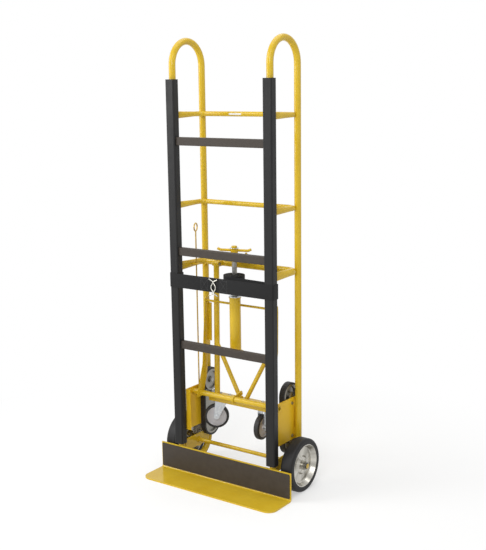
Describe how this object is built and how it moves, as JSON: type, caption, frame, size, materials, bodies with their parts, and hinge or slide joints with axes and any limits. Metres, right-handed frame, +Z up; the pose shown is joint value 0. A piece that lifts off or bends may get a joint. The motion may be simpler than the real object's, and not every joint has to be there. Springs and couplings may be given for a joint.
{
  "type": "appliance hand truck",
  "caption": "Tall tubular appliance hand truck with toe plate, wheels, stair-climber belts, ratchet load belt and a latched swing-out caster frame.",
  "frame": {"origin": "centre of the bounding box's base, on the floor", "axes": "+Z up, -Y towards the load and the toe plate, +X to the right hand of someone facing the load side"},
  "size_m": [0.6106, 0.3478, 1.676],
  "materials": {
    "yellow_paint": "gloss powder coat",
    "sleeve_black": "satin",
    "pad_dark": "matt",
    "webbing": "woven",
    "steel": "satin",
    "wire": "bright",
    "yellow_zinc": "yellow zinc plate",
    "zinc": "zinc plate",
    "rim_metal": "bright",
    "tyre": "matt",
    "caster_grey": "satin",
    "climber_rubber": "matt",
    "climber_casting": "as cast"
  },
  "bodies": {
    "frame": {"left_side_tube": "yellow_paint", "right_side_tube": "yellow_paint", "upper_rear_bar": "yellow_paint", "middle_rear_bar": "yellow_paint", "lower_rear_bar": "yellow_paint", "toe_plate": "yellow_paint", "left_axle_bracket": "yellow_paint", "right_axle_bracket": "yellow_paint", "left_side_plate": "yellow_paint", "right_side_plate": "yellow_paint", "tightener_bracket": "yellow_paint", "spring_housing": "yellow_paint", "housing_bracket": "yellow_paint", "upper_crossbar": "yellow_paint", "middle_crossbar": "yellow_paint", "lower_crossbar": "yellow_paint", "axle": "yellow_paint", "release_rod_guide": "yellow_paint", "left_rail_sleeve": "sleeve_black", "right_rail_sleeve": "sleeve_black", "crossbar_pads": "pad_dark", "toe_plate_pad": "pad_dark", "load_belt": "webbing", "belt_anchor_loop": "webbing", "axle_fasteners": "steel", "climber_bolts": "steel", "rewind_spring": "steel", "leg_hinge_pins": "steel", "belt_hook": "wire", "left_climber_belt": "climber_rubber", "right_climber_belt": "climber_rubber", "left_climber_runner": "climber_casting", "right_climber_runner": "climber_casting"},
    "left_wheel": {"left_tyre": "tyre", "left_rim": "rim_metal", "left_hub": "rim_metal"},
    "right_wheel": {"right_tyre": "tyre", "right_rim": "rim_metal", "right_hub": "rim_metal"},
    "left_climber_upper": {"left_climber_upper_pulley": "climber_casting"},
    "right_climber_upper": {"right_climber_upper_pulley": "climber_casting"},
    "left_climber_lower": {"left_climber_lower_pulley": "climber_casting"},
    "right_climber_lower": {"right_climber_lower_pulley": "climber_casting"},
    "belt_winder": {"spindle": "steel", "ratchet_wheel": "steel", "tee_handle": "yellow_paint", "belt_roll": "webbing"},
    "pawl": {"pawl": "steel"},
    "latch": {"latch_shaft": "yellow_paint"},
    "release": {"release_rod": "yellow_zinc"},
    "bail": {"bail": "yellow_paint"},
    "caster_frame": {"caster_legs": "yellow_paint", "caster_channel": "yellow_paint", "caster_mounts": "zinc"},
    "left_swivel": {"left_caster_fork": "zinc"},
    "right_swivel": {"right_caster_fork": "zinc"},
    "left_caster": {"left_caster_tyre": "tyre", "left_caster_hub": "caster_grey"},
    "right_caster": {"right_caster_tyre": "tyre", "right_caster_hub": "caster_grey"}
  },
  "joints": [
    {"name": "left_wheel_spin", "type": "hinge", "parent": "frame", "child": "left_wheel", "pos_m": [-0.272, 0.07068, 0.1016], "axis": [1, 0, 0], "continuous": true},
    {"name": "left_climber_upper_spin", "type": "hinge", "parent": "frame", "child": "left_climber_upper", "pos_m": [-0.1875, 0.12387, 0.344], "axis": [1, 0, 0], "continuous": true},
    {"name": "left_climber_lower_spin", "type": "hinge", "parent": "frame", "child": "left_climber_lower", "pos_m": [-0.1875, 0.12387, 0.163], "axis": [1, 0, 0], "continuous": true},
    {"name": "right_wheel_spin", "type": "hinge", "parent": "frame", "child": "right_wheel", "pos_m": [0.272, 0.07068, 0.1016], "axis": [1, 0, 0], "continuous": true},
    {"name": "right_climber_upper_spin", "type": "hinge", "parent": "frame", "child": "right_climber_upper", "pos_m": [0.1875, 0.12387, 0.344], "axis": [1, 0, 0], "continuous": true},
    {"name": "right_climber_lower_spin", "type": "hinge", "parent": "frame", "child": "right_climber_lower", "pos_m": [0.1875, 0.12387, 0.163], "axis": [1, 0, 0], "continuous": true},
    {"name": "belt_winder_turn", "type": "hinge", "parent": "frame", "child": "belt_winder", "pos_m": [0, 0.04537, 0.893], "axis": [0, 0, 1], "continuous": true},
    {"name": "pawl_lift", "type": "hinge", "parent": "frame", "child": "pawl", "pos_m": [0.033, 0.07537, 0.876], "axis": [0, 0, 1], "range_deg": [0, 15]},
    {"name": "latch_close", "type": "hinge", "parent": "frame", "child": "latch", "pos_m": [0, 0.03147, 0.3177], "axis": [-1, 0, 0], "range_deg": [0, 20]},
    {"name": "release_pull", "type": "slide", "parent": "frame", "child": "release", "axis": [0, 0, 1], "range_m": [-0.0085, 0]},
    {"name": "bail_swing", "type": "hinge", "parent": "frame", "child": "bail", "pos_m": [0, 0.03147, 0.3177], "axis": [-1, 0, 0], "range_deg": [0, 14]},
    {"name": "caster_swing", "type": "hinge", "parent": "frame", "child": "caster_frame", "pos_m": [0, 0.09985, 0.8245], "axis": [1, 0, 0], "range_deg": [0, 37]},
    {"name": "left_caster_swivel", "type": "hinge", "parent": "caster_frame", "child": "left_swivel", "pos_m": [-0.101, 0.09087, 0.29], "axis": [0, 0, 1], "continuous": true},
    {"name": "left_caster_spin", "type": "hinge", "parent": "left_swivel", "child": "left_caster", "pos_m": [-0.12051, 0.0769, 0.217], "axis": [0.5821, -0.8131, 0], "continuous": true},
    {"name": "right_caster_swivel", "type": "hinge", "parent": "caster_frame", "child": "right_swivel", "pos_m": [0.101, 0.09087, 0.29], "axis": [0, 0, 1], "continuous": true},
    {"name": "right_caster_spin", "type": "hinge", "parent": "right_swivel", "child": "right_caster", "pos_m": [0.10267, 0.06693, 0.217], "axis": [0.9976, 0.0698, 0], "continuous": true}
  ],
  "couplings": [
    {"joint": "left_climber_lower_spin", "follows": "left_climber_upper_spin", "ratio": 1},
    {"joint": "right_climber_lower_spin", "follows": "right_climber_upper_spin", "ratio": 1},
    {"joint": "release_pull", "follows": "latch_close", "m_per_rad": -0.024},
    {"joint": "bail_swing", "follows": "caster_swing", "ratio": 0.37}
  ]
}
